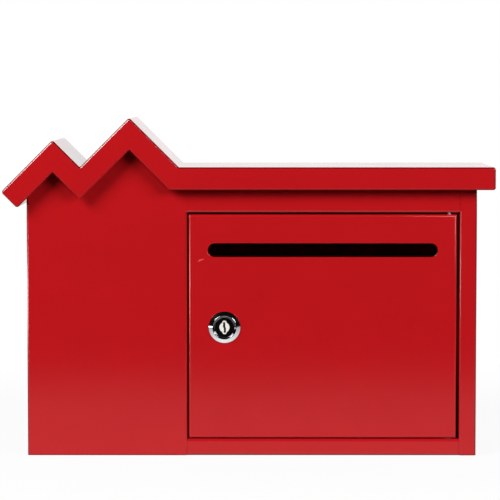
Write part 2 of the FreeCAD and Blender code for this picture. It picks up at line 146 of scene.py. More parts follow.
def powder_coat(name, bend_shade, rim_shade, burnish):
    """Baked powder paint: a glossy film with fine orange peel over a sheet that is never quite flat.

    Over the bends the red is painted darker as painted shade, most so on the cabinet's outer rim and in
    a line along its foot, and less where a bend faces down; the bends are also rubbed to a higher shine:
    the last three values are how much of that shows, from 0 to 1.
    """
    material, tree, output = new_material(name)
    where = add(tree, "ShaderNodeTexCoord", {})
    place = where.outputs["Object"]
    cloud = add(tree, "ShaderNodeTexNoise", {"Vector": place, "Scale": 1 / CLOUD_WIDTH, "Detail": 3.0})
    red = add(tree, "ShaderNodeMix", {"Factor": cloud.outputs["Fac"], "A": linear(PAINT_RED),
                                      "B": linear(PAINT_RED_CLOUD)}, data_type="RGBA")
    facing = add(tree, "ShaderNodeVectorMath", {0: where.outputs["Normal"]}, operation="ABSOLUTE")
    sides = add(tree, "ShaderNodeSeparateXYZ", {"Vector": facing.outputs["Vector"]})
    slope = add(tree, "ShaderNodeMath", {0: sides.outputs["X"], 1: sides.outputs["Z"]}, operation="ADD")
    flat = add(tree, "ShaderNodeMath", {0: slope.outputs["Value"], 1: SLOPE_SHARE},
               operation="MULTIPLY")
    for side in ("X", "Y", "Z"):
        flat = add(tree, "ShaderNodeMath", {0: flat.outputs["Value"], 1: sides.outputs[side]},
                   operation="MAXIMUM")
    spot = add(tree, "ShaderNodeSeparateXYZ", {"Vector": place})
    aside = add(tree, "ShaderNodeMath", {0: spot.outputs["X"]}, operation="ABSOLUTE")
    at_side = add(tree, "ShaderNodeMath", {0: aside.outputs["Value"], 1: side_x - OUTER_RIM},
                  operation="GREATER_THAN")
    at_foot = add(tree, "ShaderNodeMath", {0: spot.outputs["Z"], 1: foot_z + OUTER_RIM},
                  operation="LESS_THAN")
    at_rim = add(tree, "ShaderNodeMath", {0: at_side.outputs["Value"], 1: at_foot.outputs["Value"]},
                 operation="MAXIMUM")
    # Painted shade: bends are darkened, more on the outer rim and foot, and little where they face down.
    most = add(tree, "ShaderNodeMapRange", {"Value": at_rim.outputs["Value"], "To Min": bend_shade,
                                            "To Max": rim_shade})
    bend = add(tree, "ShaderNodeMapRange", {"Value": flat.outputs["Value"], "From Min": FLAT_SHEET,
                                            "From Max": FULL_BEND, "To Max": most.outputs["Result"]})
    upright = add(tree, "ShaderNodeSeparateXYZ", {"Vector": where.outputs["Normal"]})
    upward = add(tree, "ShaderNodeMapRange", {"Value": upright.outputs["Z"], "From Min": UNDERSIDE[0],
                                              "From Max": UNDERSIDE[1], "To Min": UNDERSIDE_SHARE})
    painted_shade = add(tree, "ShaderNodeMath", {0: bend.outputs["Result"], 1: upward.outputs["Result"]},
               operation="MULTIPLY")
    # Painted shade: a dark line along the cabinet's foot.
    foot_shade = add(tree, "ShaderNodeMapRange", {"Value": spot.outputs["Z"],
                                                 "From Min": foot_z + FOOT_SHADE_LINE, "From Max": foot_z,
                                                 "To Max": rim_shade})
    painted_shade = add(tree, "ShaderNodeMath", {0: painted_shade.outputs["Value"], 1: foot_shade.outputs["Result"]},
               operation="MAXIMUM")
    film = add(tree, "ShaderNodeMix", {"Factor": painted_shade.outputs["Value"], "A": red.outputs["Result"],
                                       "B": linear(PAINT_RED_SHADE)}, data_type="RGBA")
    bump = None
    for width, height in (SHEET_WAVE, ORANGE_PEEL, PAINT_GRAIN):
        relief = add(tree, "ShaderNodeTexNoise", {"Vector": place, "Scale": 1 / width, "Detail": 0.0})
        inputs = {"Height": relief.outputs["Fac"], "Distance": height, "Strength": 1.0}
        if bump:
            inputs["Normal"] = bump.outputs["Normal"]
        bump = add(tree, "ShaderNodeBump", inputs)
    gloss = add(tree, "ShaderNodeMapRange", {"Value": cloud.outputs["Fac"],
                                             "From Min": CLOUD_SPREAD[0], "From Max": CLOUD_SPREAD[1],
                                             "To Min": PAINT_ROUGHNESS[0],
                                             "To Max": PAINT_ROUGHNESS[1]})
    rubbed = add(tree, "ShaderNodeMapRange", {"Value": flat.outputs["Value"], "From Min": FLAT_SHEET,
                                              "From Max": RUBBED_BEND, "To Max": burnish})
    shine = add(tree, "ShaderNodeMix", {"Factor": rubbed.outputs["Result"], "A": PAINT_SPECULAR,
                                        "B": upward.outputs["Result"]}, data_type="FLOAT")
    shader = add(tree, "ShaderNodeBsdfPrincipled", {"Base Color": film.outputs["Result"],
                                                    "IOR": PAINT_IOR,
                                                    "Roughness": gloss.outputs["Result"],
                                                    "Specular IOR Level": shine.outputs["Result"],
                                                    "Normal": bump.outputs["Normal"]})
    tree.links.new(shader.outputs["BSDF"], output.inputs["Surface"])
    return material, tree, shader


# The rise of the normal over which the roof's film thickens and over which a face counts as its top,
# and how flat a glance has to be (1 is edge on) for that top to shine.
THICK_FILM = (0.15, 0.35)
TOP_FACE = (0.50, 0.68)
LOW_ANGLE = (0.80, 0.92)
ROOF_COAT = 0.45
# The roof's bends get the full painted shade.
roof_paint, tree, shader = powder_coat("red_powder_coat_roof", bend_shade=1.0, rim_shade=1.0,
                                       burnish=1.0)
facing = add(tree, "ShaderNodeTexCoord", {})
rise = add(tree, "ShaderNodeSeparateXYZ", {"Vector": facing.outputs["Normal"]})
top_face = add(tree, "ShaderNodeMapRange", {"Value": rise.outputs["Z"], "From Min": TOP_FACE[0],
                                            "From Max": TOP_FACE[1]})
glance = add(tree, "ShaderNodeLayerWeight", {"Blend": 0.5})
sheen = add(tree, "ShaderNodeMapRange", {"Value": glance.outputs["Facing"], "From Min": LOW_ANGLE[0],
                                         "From Max": LOW_ANGLE[1]})
share = add(tree, "ShaderNodeMix", {"Factor": top_face.outputs["Result"], "A": 1.0,
                                    "B": sheen.outputs["Result"]}, data_type="FLOAT")
film_shine = shader.inputs["Specular IOR Level"].links[0].from_socket
shine = add(tree, "ShaderNodeMath", {0: film_shine, 1: share.outputs["Result"]}, operation="MULTIPLY")
tree.links.new(shine.outputs["Value"], shader.inputs["Specular IOR Level"])
settled = add(tree, "ShaderNodeMapRange", {"Value": rise.outputs["Z"], "From Min": THICK_FILM[0],
                                           "From Max": THICK_FILM[1], "To Max": ROOF_COAT})
coat = add(tree, "ShaderNodeMath", {0: settled.outputs["Result"], 1: share.outputs["Result"]},
           operation="MULTIPLY")
tree.links.new(coat.outputs["Value"], shader.inputs["Coat Weight"])
dress(nodes["roof"], roof_paint)
# The cabinet's bends get a little painted shade, and more on its outer rim and foot.
cabinet_paint = powder_coat("red_powder_coat", bend_shade=0.15, rim_shade=0.7, burnish=0.3)[0]
for sheet_name in ("left_panel", "right_panel", "back_panel", "floor_panel", "header_rail"):
    dress(nodes[sheet_name], cabinet_paint)


# Corner seams: where the header and the bottom rail meet the two front panels.
# A bead of weld fills the fold's round corner beside each rail end; it was ground back to the
# panel's face before painting, and where it shrank off the rail's end a hairline crack shows.
FOLD_RADIUS = 2.0 * MM
BEAD_DEPTH = 1.6 * MM
BEAD_LAP = 0.1 * MM
BEAD_ROUND = 1.5 * MM
BEAD_TAPER = 0.75
BEAD_SMOOTH = math.radians(40)
SEAM_FLUSH = 0.0 * MM
SEAM_SUNK = 0.25 * MM
SEAM_CRACK = 0.12 * MM


def weld_bead(name, fold_x, rail_x, heights, sunk):
    """A ground bead between a fold's tangent line at fold_x and a rail's end at rail_x.

    It tapers towards the back beside the fold, and its front is rounded at both ends.
    """
    bottom, top = heights
    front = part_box("header_rail")[0].y + sunk
    middle = ((fold_x + rail_x) / 2, front + BEAD_DEPTH / 2, (bottom + top) / 2)
    bpy.ops.object.select_all(action="DESELECT")
    bpy.ops.mesh.primitive_cube_add(size=1, location=middle)
    bead = bpy.context.object
    bead.name = name
    bead.scale = (abs(fold_x - rail_x), BEAD_DEPTH, top - bottom)
    bpy.ops.object.transform_apply(location=True, rotation=True, scale=True)
    bpy.ops.object.mode_set(mode="EDIT")
    bpy.ops.mesh.select_mode(type="VERT")
    bpy.ops.mesh.select_all(action="DESELECT")
    bpy.ops.object.mode_set(mode="OBJECT")
    for vertex in bead.data.vertices:
        at_fold = abs(vertex.co.x - fold_x) < abs(vertex.co.x - rail_x)
        vertex.select = bool(at_fold and vertex.co.y > middle[1])
    bpy.ops.object.mode_set(mode="EDIT")
    bpy.ops.transform.translate(value=(BEAD_TAPER * (rail_x - fold_x), 0, 0))
    bpy.ops.mesh.select_mode(type="EDGE")
    bpy.ops.mesh.select_all(action="DESELECT")
    bpy.ops.object.mode_set(mode="OBJECT")
    for edge in bead.data.edges:
        ends = [bead.data.vertices[index].co for index in edge.vertices]
        along_x = abs(ends[0].z - ends[1].z) < BEAD_LAP
        edge.select = bool(along_x and max(end.y for end in ends) < middle[1])
    bpy.ops.object.mode_set(mode="EDIT")
    bpy.ops.mesh.bevel(offset=BEAD_ROUND, segments=4, profile=0.5, affect="EDGES", clamp_overlap=True)
    bpy.ops.object.mode_set(mode="OBJECT")
    bpy.ops.object.shade_smooth_by_angle(angle=BEAD_SMOOTH)
    even = bead.modifiers.new("even_shading", "WEIGHTED_NORMAL")
    even.keep_sharp = True
    bpy.ops.object.modifier_apply(modifier=even.name)
    dress(bead, cabinet_paint)
    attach(bead, "cabinet")


header_low, header_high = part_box("header_rail")
rail_low, rail_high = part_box("floor_panel")
header_heights = (header_low.z, header_high.z)
rail_heights = (rail_low.z, rail_high.z)
seam_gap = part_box("right_panel")[0].x - header_high.x
left_fold = header_low.x - seam_gap - FOLD_RADIUS
right_fold = header_high.x + seam_gap + FOLD_RADIUS
left_crack = header_low.x - SEAM_CRACK
right_crack = header_high.x + SEAM_CRACK
weld_bead("header_bead_left", left_fold, header_low.x + BEAD_LAP, header_heights, SEAM_FLUSH)
weld_bead("header_bead_right", right_fold, right_crack, header_heights, SEAM_SUNK)
weld_bead("rail_bead_left", left_fold, left_crack, rail_heights, SEAM_SUNK)
weld_bead("rail_bead_right", right_fold, right_crack, rail_heights, SEAM_SUNK)


# Hinge pins: two short headed pins, pressed through the rails, on which the door turns.
# Cold-headed steel with a bright zinc plate; tumbling before plating rounded their edges,
# and the turning door rubs them to a pale, even grey.
MERGE_REACH = 0.001 * MM
FLAT_WITHIN = math.radians(0.5)
SHARP_EDGE = 30
SMOOTH_MARGIN = 15


def merged_copy(node_name, name):
    """A copy of a CAD node with its mesh merged, which takes the node's place on its body."""
    bpy.ops.object.select_all(action="DESELECT")
    nodes[node_name].select_set(True)
    bpy.context.view_layer.objects.active = nodes[node_name]
    bpy.ops.object.duplicate()
    piece = bpy.context.object
    piece.name = name
    bpy.ops.object.parent_clear(type="CLEAR_KEEP_TRANSFORM")
    body = piece["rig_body"]
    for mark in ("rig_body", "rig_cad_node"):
        del piece[mark]
    bpy.ops.mesh.customdata_custom_splitnormals_clear()
    bpy.ops.object.mode_set(mode="EDIT")
    bpy.ops.mesh.select_all(action="SELECT")
    bpy.ops.mesh.remove_doubles(threshold=MERGE_REACH)
    bpy.ops.mesh.dissolve_limited(angle_limit=FLAT_WITHIN)
    bpy.ops.mesh.select_mode(type="EDGE")
    bpy.ops.mesh.select_all(action="DESELECT")
    bpy.ops.object.mode_set(mode="OBJECT")
    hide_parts(node_name)
    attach(piece, body)
    return piece


def ease(piece, width, segments, sharp=SHARP_EDGE):
    """Rounds the edges that turn by more than sharp degrees, as tumbling, casting or pressing does."""
    bpy.ops.object.select_all(action="DESELECT")
    piece.select_set(True)
    bpy.context.view_layer.objects.active = piece
    bevel = piece.modifiers.new("eased_edges", "BEVEL")
    bevel.width = width
    bevel.segments = segments
    bevel.limit_method = "ANGLE"
    bevel.angle_limit = math.radians(sharp)
    bevel.use_clamp_overlap = False
    bpy.ops.object.modifier_apply(modifier=bevel.name)
    bpy.ops.object.shade_smooth_by_angle(angle=math.radians(sharp + SMOOTH_MARGIN))
    even = piece.modifiers.new("even_shading", "WEIGHTED_NORMAL")
    even.keep_sharp = True
    bpy.ops.object.modifier_apply(modifier=even.name)


def eased_copy(node_name, name, width, segments, sharp=SHARP_EDGE):
    """A copy of a CAD node with its sharp edges eased."""
    piece = merged_copy(node_name, name)
    ease(piece, width, segments, sharp)
    return piece


ZINC_BRIGHT = "#CFD2D6"
ZINC_DULL = "#BCC0C5"
SPANGLE_WIDTH = 2.2 * MM
ZINC_CLOUD = 5.5 * MM
PLATING_GRAIN = (0.35 * MM, 0.003 * MM)
SATIN = (0.24, 0.46)
RUBBED = (0.44, 0.58)


def zinc_plate(name, roughness):
    """Bright zinc plate on steel: a cool grey in faintly cloudy crystals, as rough as the pair given."""
    material, tree, output = new_material(name)
    place = add(tree, "ShaderNodeTexCoord", {}).outputs["Object"]
    spangle = add(tree, "ShaderNodeTexVoronoi", {"Vector": place, "Scale": 1 / SPANGLE_WIDTH})
    tone = add(tree, "ShaderNodeSeparateColor", {"Color": spangle.outputs["Color"]})
    cloud = add(tree, "ShaderNodeTexNoise", {"Vector": place, "Scale": 1 / ZINC_CLOUD, "Detail": 4.0})
    shade = add(tree, "ShaderNodeMath", {0: tone.outputs["Red"], 1: cloud.outputs["Fac"]},
                operation="MULTIPLY")
    colour = add(tree, "ShaderNodeMix", {"Factor": shade.outputs["Value"], "A": linear(ZINC_BRIGHT),
                                         "B": linear(ZINC_DULL)}, data_type="RGBA")
    gloss = add(tree, "ShaderNodeMapRange", {"Value": cloud.outputs["Fac"], "To Min": roughness[0],
                                             "To Max": roughness[1]})
    grain = add(tree, "ShaderNodeTexNoise", {"Vector": place, "Scale": 1 / PLATING_GRAIN[0]})
    bump = add(tree, "ShaderNodeBump", {"Height": grain.outputs["Fac"], "Distance": PLATING_GRAIN[1]})
    shader = add(tree, "ShaderNodeBsdfPrincipled", {"Base Color": colour.outputs["Result"],
                                                    "Metallic": 1.0,
                                                    "Roughness": gloss.outputs["Result"],
                                                    "Normal": bump.outputs["Normal"]})
    tree.links.new(shader.outputs["BSDF"], output.inputs["Surface"])
    return material, tree, shader


PIN_EASE = 0.35 * MM
pin_zinc = zinc_plate("rubbed_zinc_plate", RUBBED)[0]
for pin_name in ("hinge_pin_top", "hinge_pin_bottom"):
    pin = eased_copy(pin_name, pin_name + "_plated", PIN_EASE, 3)
    dress(pin, pin_zinc)


# Hinge washer: a thin ring under the door on the lower pin.
# Natural nylon, punched from sheet, so its rims are soft; it is painted nearly black, as painted shade
# in the dark gap under the door.
NYLON_SHADE_DARK = "#1A1918"
NYLON_SHADE_CLOUD = "#2A2826"
NYLON_CLOUD = 3 * MM
NYLON_ROUGHNESS = 0.42
NYLON_IOR = 1.53
WASHER_EASE = 0.12 * MM
nylon, tree, output = new_material("shade_dark_nylon")
place = add(tree, "ShaderNodeTexCoord", {}).outputs["Object"]
cloud = add(tree, "ShaderNodeTexNoise", {"Vector": place, "Scale": 1 / NYLON_CLOUD, "Detail": 3.0})
# Painted shade: the washer is coloured nearly black so the gap under the door stays dark.
colour = add(tree, "ShaderNodeMix", {"Factor": cloud.outputs["Fac"], "A": linear(NYLON_SHADE_DARK),
                                     "B": linear(NYLON_SHADE_CLOUD)}, data_type="RGBA")
shader = add(tree, "ShaderNodeBsdfPrincipled", {"Base Color": colour.outputs["Result"],
                                                "Roughness": NYLON_ROUGHNESS, "IOR": NYLON_IOR})
tree.links.new(shader.outputs["BSDF"], output.inputs["Surface"])
washer = eased_copy("hinge_washer", "hinge_washer_nylon", WASHER_EASE, 2)
dress(washer, nylon)


# Door: a shallow pan with four returns, the letter slot and the lock hole.
# The same painted sheet; the punched edges are eased by deburring and the paint rounds them further.
# A small nick below the slot's left end shows the pale primer under the red.
DOOR_EASE = 0.3 * MM
PRIMER = "#DC5552"
NICK_FROM_LEFT = 9.3 * MM
NICK_BELOW_TOP = 35.2 * MM
NICK_TILT = math.radians(-24)
NICK_DEPTH = 0.10 * MM
# The rest of the nick is drawn in its own frame, in millimetres.
NICK_HALF_LENGTH = (2.6, 1.82)
NICK_HALF_WIDTH = (0.55, 0.33)
NICK_REACH = (0.5, 0.3)
NICK_CURVE = 0.10
NICK_RAGGED = 0.7
NICK_RAGGED_WAVES = 1.4
door_low, door_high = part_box("door")
door_paint, tree, shader = powder_coat("red_powder_coat_door", bend_shade=0.0, rim_shade=0.0,
                                       burnish=0.6)
place = add(tree, "ShaderNodeTexCoord", {}).outputs["Object"]
nick_center = (door_low.x + NICK_FROM_LEFT, door_low.y, door_high.z - NICK_BELOW_TOP)
nick = add(tree, "ShaderNodeMapping", {"Vector": place, "Location": nick_center,
                                       "Rotation": (0, NICK_TILT, 0), "Scale": (MM, MM, MM)},
           vector_type="TEXTURE")
ragged = add(tree, "ShaderNodeTexNoise", {"Vector": nick.outputs["Vector"],
                                          "Scale": NICK_RAGGED_WAVES, "Detail": 2.0})
ragged = add(tree, "ShaderNodeMapRange", {"Value": ragged.outputs["Fac"], "To Min": -NICK_RAGGED,
                                          "To Max": NICK_RAGGED})
parts = add(tree, "ShaderNodeSeparateXYZ", {"Vector": nick.outputs["Vector"]})
arch = add(tree, "ShaderNodeMath", {0: parts.outputs["X"], 1: parts.outputs["X"]}, operation="MULTIPLY")
arch = add(tree, "ShaderNodeMath", {0: arch.outputs["Value"], 1: NICK_CURVE, 2: parts.outputs["Z"]},
           operation="MULTIPLY_ADD")
across = add(tree, "ShaderNodeMath", {0: arch.outputs["Value"], 1: ragged.outputs["Result"]},
             operation="ADD")
across = add(tree, "ShaderNodeMath", {0: across.outputs["Value"]}, operation="ABSOLUTE")
along = add(tree, "ShaderNodeMath", {0: parts.outputs["X"]}, operation="ABSOLUTE")
narrow = add(tree, "ShaderNodeMapRange", {"Value": across.outputs["Value"],
                                          "From Min": NICK_HALF_WIDTH[0],
                                          "From Max": NICK_HALF_WIDTH[1]})
short = add(tree, "ShaderNodeMapRange", {"Value": along.outputs["Value"],
                                         "From Min": NICK_HALF_LENGTH[0],
                                         "From Max": NICK_HALF_LENGTH[1]})
outer = add(tree, "ShaderNodeMapRange", {"Value": parts.outputs["Y"], "From Min": NICK_REACH[0],
                                         "From Max": NICK_REACH[1]})
bare = add(tree, "ShaderNodeMath", {0: narrow.outputs["Result"], 1: short.outputs["Result"]},
           operation="MULTIPLY")
bare = add(tree, "ShaderNodeMath", {0: bare.outputs["Value"], 1: outer.outputs["Result"]},
           operation="MULTIPLY")
red = shader.inputs["Base Color"].links[0].from_socket
chipped = add(tree, "ShaderNodeMix", {"Factor": bare.outputs["Value"], "A": red, "B": linear(PRIMER)},
              data_type="RGBA")
tree.links.new(chipped.outputs["Result"], shader.inputs["Base Color"])
film = shader.inputs["Normal"].links[0].from_socket
rim = add(tree, "ShaderNodeBump", {"Height": bare.outputs["Value"], "Distance": NICK_DEPTH,
                                   "Normal": film}, invert=True)
tree.links.new(rim.outputs["Normal"], shader.inputs["Normal"])
door = eased_copy("door", "door_pan", DOOR_EASE, 3)
dress(door, door_paint)


# Lock housing: the round head on the door's face and the barrel behind it.
# Die-cast zinc, polished on the head and plated with bright chrome; the casting has soft, rolled rims.
# A thread is rolled on the barrel for the nut, except on its two flats.
CHROME_BRIGHT = "#EDEEF0"
CHROME_DULL = "#DFE0E3"
CHROME_ROUGHNESS = (0.03, 0.10)
POLISH_CLOUD = 5 * MM
POLISH_GRAIN = (0.8 * MM, 0.0015 * MM)
HOUSING_EASE = 0.10 * MM
HOUSING_SHARP = 20
THREAD_PITCH = 1.0 * MM
THREAD_DEPTH = 0.45 * MM
THREAD_FROM = 4.2 * MM
FLAT_REACH = (8.55 * MM, 8.75 * MM)
# At a scale of 1 the wave texture repeats after this length.
WAVE_PERIOD = math.tau / 20
housing_low, housing_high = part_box("lock_housing")
lock_axis = Vector(((housing_low.x + housing_high.x) / 2, 0, (housing_low.z + housing_high.z) / 2))
chrome, tree, output = new_material("bright_chrome_plate")
place = add(tree, "ShaderNodeTexCoord", {}).outputs["Object"]
cloud = add(tree, "ShaderNodeTexNoise", {"Vector": place, "Scale": 1 / POLISH_CLOUD, "Detail": 4.0})
colour = add(tree, "ShaderNodeMix", {"Factor": cloud.outputs["Fac"], "A": linear(CHROME_BRIGHT),
                                     "B": linear(CHROME_DULL)}, data_type="RGBA")
gloss = add(tree, "ShaderNodeMapRange", {"Value": cloud.outputs["Fac"], "To Min": CHROME_ROUGHNESS[0],
                                         "To Max": CHROME_ROUGHNESS[1]})
grain = add(tree, "ShaderNodeTexNoise", {"Vector": place, "Scale": 1 / POLISH_GRAIN[0], "Detail": 1.0})
bump = add(tree, "ShaderNodeBump", {"Height": grain.outputs["Fac"], "Distance": POLISH_GRAIN[1]})
centred = add(tree, "ShaderNodeVectorMath", {0: place, 1: lock_axis}, operation="SUBTRACT")
crosswise = add(tree, "ShaderNodeVectorMath", {0: centred.outputs["Vector"], 1: (1, 0, 1)},
                operation="MULTIPLY")
radius = add(tree, "ShaderNodeVectorMath", {0: crosswise.outputs["Vector"]}, operation="LENGTH")
depth = add(tree, "ShaderNodeSeparateXYZ", {"Vector": place})
barrel = add(tree, "ShaderNodeMath", {0: depth.outputs["Y"], 1: housing_low.y + THREAD_FROM},
             operation="GREATER_THAN")
turned = add(tree, "ShaderNodeMapRange", {"Value": radius.outputs["Value"], "From Min": FLAT_REACH[0],
                                          "From Max": FLAT_REACH[1]})
cut = add(tree, "ShaderNodeMath", {0: barrel.outputs["Value"], 1: turned.outputs["Result"]},
          operation="MULTIPLY")
thread = add(tree, "ShaderNodeTexWave", {"Vector": place, "Scale": WAVE_PERIOD / THREAD_PITCH},
             bands_direction="Y", wave_profile="TRI")
thread = add(tree, "ShaderNodeMath", {0: thread.outputs["Fac"], 1: cut.outputs["Value"]},
             operation="MULTIPLY")
bump = add(tree, "ShaderNodeBump", {"Height": thread.outputs["Value"], "Distance": THREAD_DEPTH,
                                    "Normal": bump.outputs["Normal"]})
shader = add(tree, "ShaderNodeBsdfPrincipled", {"Base Color": colour.outputs["Result"], "Metallic": 1.0,
                                                "Roughness": gloss.outputs["Result"],
                                                "Normal": bump.outputs["Normal"]})
tree.links.new(shader.outputs["BSDF"], output.inputs["Surface"])
housing = eased_copy("lock_housing", "lock_housing_cast", HOUSING_EASE, 3, HOUSING_SHARP)
dress(housing, chrome)


# Lock washer and nut: they clamp the housing to the door from inside.
# Steel with a bright zinc plate: a stamped washer and a hexagon nut, its corners turned to a chamfer.
NUT_EASE = 0.12 * MM
NUT_SHARP = 25
NUT_CHAMFER = 1.25 * MM
NUT_SLACK = 0.02 * MM
zinc = zinc_plate("bright_zinc_plate", SATIN)[0]
nut_low, nut_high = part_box("lock_nut")
nut = merged_copy("lock_nut", "lock_nut_plated")
bpy.ops.object.select_all(action="DESELECT")
bpy.ops.mesh.primitive_cylinder_add(vertices=96, radius=(nut_high.x - nut_low.x) / 2 + NUT_SLACK,
                                    depth=nut_high.y - nut_low.y + 2 * NUT_SLACK,
                                    location=(nut_low + nut_high) / 2, rotation=(math.pi / 2, 0, 0))
turned_shape = bpy.context.object
bpy.ops.object.transform_apply(location=True, rotation=True, scale=True)
bpy.ops.object.mode_set(mode="EDIT")
bpy.ops.mesh.select_mode(type="EDGE")
bpy.ops.mesh.select_all(action="DESELECT")
bpy.ops.object.mode_set(mode="OBJECT")
for edge in turned_shape.data.edges:
    ends = [turned_shape.data.vertices[index].co.y for index in edge.vertices]
    edge.select = bool(abs(ends[0] - ends[1]) < NUT_SLACK)
bpy.ops.object.mode_set(mode="EDIT")
bpy.ops.mesh.bevel(offset=NUT_CHAMFER, segments=1, affect="EDGES")
bpy.ops.object.mode_set(mode="OBJECT")
chamfer = nut.modifiers.new("turned_corners", "BOOLEAN")
chamfer.operation = "INTERSECT"
chamfer.object = turned_shape
bpy.ops.object.select_all(action="DESELECT")
nut.select_set(True)
bpy.context.view_layer.objects.active = nut
bpy.ops.object.modifier_apply(modifier=chamfer.name)
bpy.data.objects.remove(turned_shape)
ease(nut, NUT_EASE, 2, NUT_SHARP)
dress(nut, zinc)
lock_washer = eased_copy("lock_washer", "lock_washer_plated", WASHER_EASE, 2)
dress(lock_washer, zinc)


# Plug: the part that turns, with the keyhole boss in front and the square for the cam behind.
# Turned from brass and plated with satin nickel; the boss is rounded over, with fine turning rings.
# Its hidden length and the keyway are painted dark, as painted shade inside the lock.
NICKEL_PALE = "#FAF8F4"
NICKEL_WARM = "#EFEBE3"
NICKEL_ROUGHNESS = (0.58, 0.70)
NICKEL_CLOUD = 3 * MM
RING_PITCH = 0.3 * MM
RING_DEPTH = 0.004 * MM
RING_WAVER = 0.6
RECESS_SHADE = "#14120F"
RECESS_SHADE_FROM = 0.5 * MM
RECESS_SHADE_FADE = 1.1 * MM
RECESS_SHADE_TO = 18 * MM
PLUG_EASE = 0.12 * MM
BOSS_ROUND = 0.7 * MM
KEYWAY_HALF = Vector((1.0 * MM, 4.6 * MM))
RIM_SLACK = 0.01 * MM
plug_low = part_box("lock_plug")[0]


def paint_recess_shade(tree, shader, start):
    """Paints shade on a lock piece: darkens it from a depth start to near the plug's far end."""
    place = add(tree, "ShaderNodeTexCoord", {}).outputs["Object"]
    depth = add(tree, "ShaderNodeSeparateXYZ", {"Vector": place})
    inside = add(tree, "ShaderNodeMapRange", {"Value": depth.outputs["Y"],
                                              "From Min": plug_low.y + start,
                                              "From Max": plug_low.y + start + RECESS_SHADE_FADE})
    before = add(tree, "ShaderNodeMath", {0: depth.outputs["Y"], 1: plug_low.y + RECESS_SHADE_TO},
                 operation="LESS_THAN")
    share = add(tree, "ShaderNodeMath", {0: inside.outputs["Result"], 1: before.outputs["Value"]},
                operation="MULTIPLY")
    unshaded = shader.inputs["Base Color"].links[0].from_socket
    dark = add(tree, "ShaderNodeMix", {"Factor": share.outputs["Value"], "A": unshaded,
                                       "B": linear(RECESS_SHADE)}, data_type="RGBA")
    tree.links.new(dark.outputs["Result"], shader.inputs["Base Color"])


nickel, tree, output = new_material("satin_nickel_plate")
place = add(tree, "ShaderNodeTexCoord", {}).outputs["Object"]
centred = add(tree, "ShaderNodeVectorMath", {0: place, 1: lock_axis}, operation="SUBTRACT")
cloud = add(tree, "ShaderNodeTexNoise", {"Vector": place, "Scale": 1 / NICKEL_CLOUD, "Detail": 3.0})
colour = add(tree, "ShaderNodeMix", {"Factor": cloud.outputs["Fac"], "A": linear(NICKEL_PALE),
                                     "B": linear(NICKEL_WARM)}, data_type="RGBA")
rings = add(tree, "ShaderNodeTexWave", {"Vector": centred.outputs["Vector"],
                                        "Scale": WAVE_PERIOD / RING_PITCH, "Distortion": RING_WAVER},
            wave_type="RINGS", rings_direction="Y")
bump = add(tree, "ShaderNodeBump", {"Height": rings.outputs["Fac"], "Distance": RING_DEPTH})
gloss = add(tree, "ShaderNodeMapRange", {"Value": cloud.outputs["Fac"], "To Min": NICKEL_ROUGHNESS[0],
                                         "To Max": NICKEL_ROUGHNESS[1]})
shader = add(tree, "ShaderNodeBsdfPrincipled", {"Base Color": colour.outputs["Result"], "Metallic": 1.0,
                                                "Roughness": gloss.outputs["Result"],
                                                "Normal": bump.outputs["Normal"]})
tree.links.new(shader.outputs["BSDF"], output.inputs["Surface"])
# Painted shade: the plug darkens from just behind its front, in the keyway and along its hidden length.
paint_recess_shade(tree, shader, RECESS_SHADE_FROM)
plug = merged_copy("lock_plug", "lock_plug_turned")
for edge in plug.data.edges:
    ends = [plug.data.vertices[index].co for index in edge.vertices]
    middle = (ends[0] + ends[1]) / 2
    flat_rim = all(end.y < plug_low.y + RIM_SLACK for end in ends)
    aside = abs(middle.x - lock_axis.x)
    above = abs(middle.z - lock_axis.z)
    keyway = aside < KEYWAY_HALF.x and above < KEYWAY_HALF.y
    edge.select = bool(flat_rim and not keyway)
bpy.ops.object.mode_set(mode="EDIT")
bpy.ops.mesh.bevel(offset=BOSS_ROUND, segments=5, profile=0.5, affect="EDGES", clamp_overlap=True)
bpy.ops.object.mode_set(mode="OBJECT")
ease(plug, PLUG_EASE, 3)
dress(plug, nickel)


# Black ring: it lies on the plug's head round the keyhole boss.
# Moulded ABS with a gloss skin, so it is nearly black with small sharp lights on its rim.
ABS_BLACK = "#060607"
ABS_SCUFFED = "#0B0B0C"
ABS_ROUGHNESS = (0.08, 0.16)
ABS_IOR = 1.54
SCUFF_WIDTH = 1.5 * MM
FACE_EASE = 0.3 * MM
black, tree, output = new_material("gloss_black_abs")
place = add(tree, "ShaderNodeTexCoord", {}).outputs["Object"]
scuff = add(tree, "ShaderNodeTexNoise", {"Vector": place, "Scale": 1 / SCUFF_WIDTH, "Detail": 4.0})
colour = add(tree, "ShaderNodeMix", {"Factor": scuff.outputs["Fac"], "A": linear(ABS_BLACK),
                                     "B": linear(ABS_SCUFFED)}, data_type="RGBA")
gloss = add(tree, "ShaderNodeMapRange", {"Value": scuff.outputs["Fac"], "To Min": ABS_ROUGHNESS[0],
                                         "To Max": ABS_ROUGHNESS[1]})
shader = add(tree, "ShaderNodeBsdfPrincipled", {"Base Color": colour.outputs["Result"], "IOR": ABS_IOR,
                                                "Roughness": gloss.outputs["Result"]})
tree.links.new(shader.outputs["BSDF"], output.inputs["Surface"])
face = eased_copy("lock_face", "lock_face_moulded", FACE_EASE, 3)
dress(face, black)


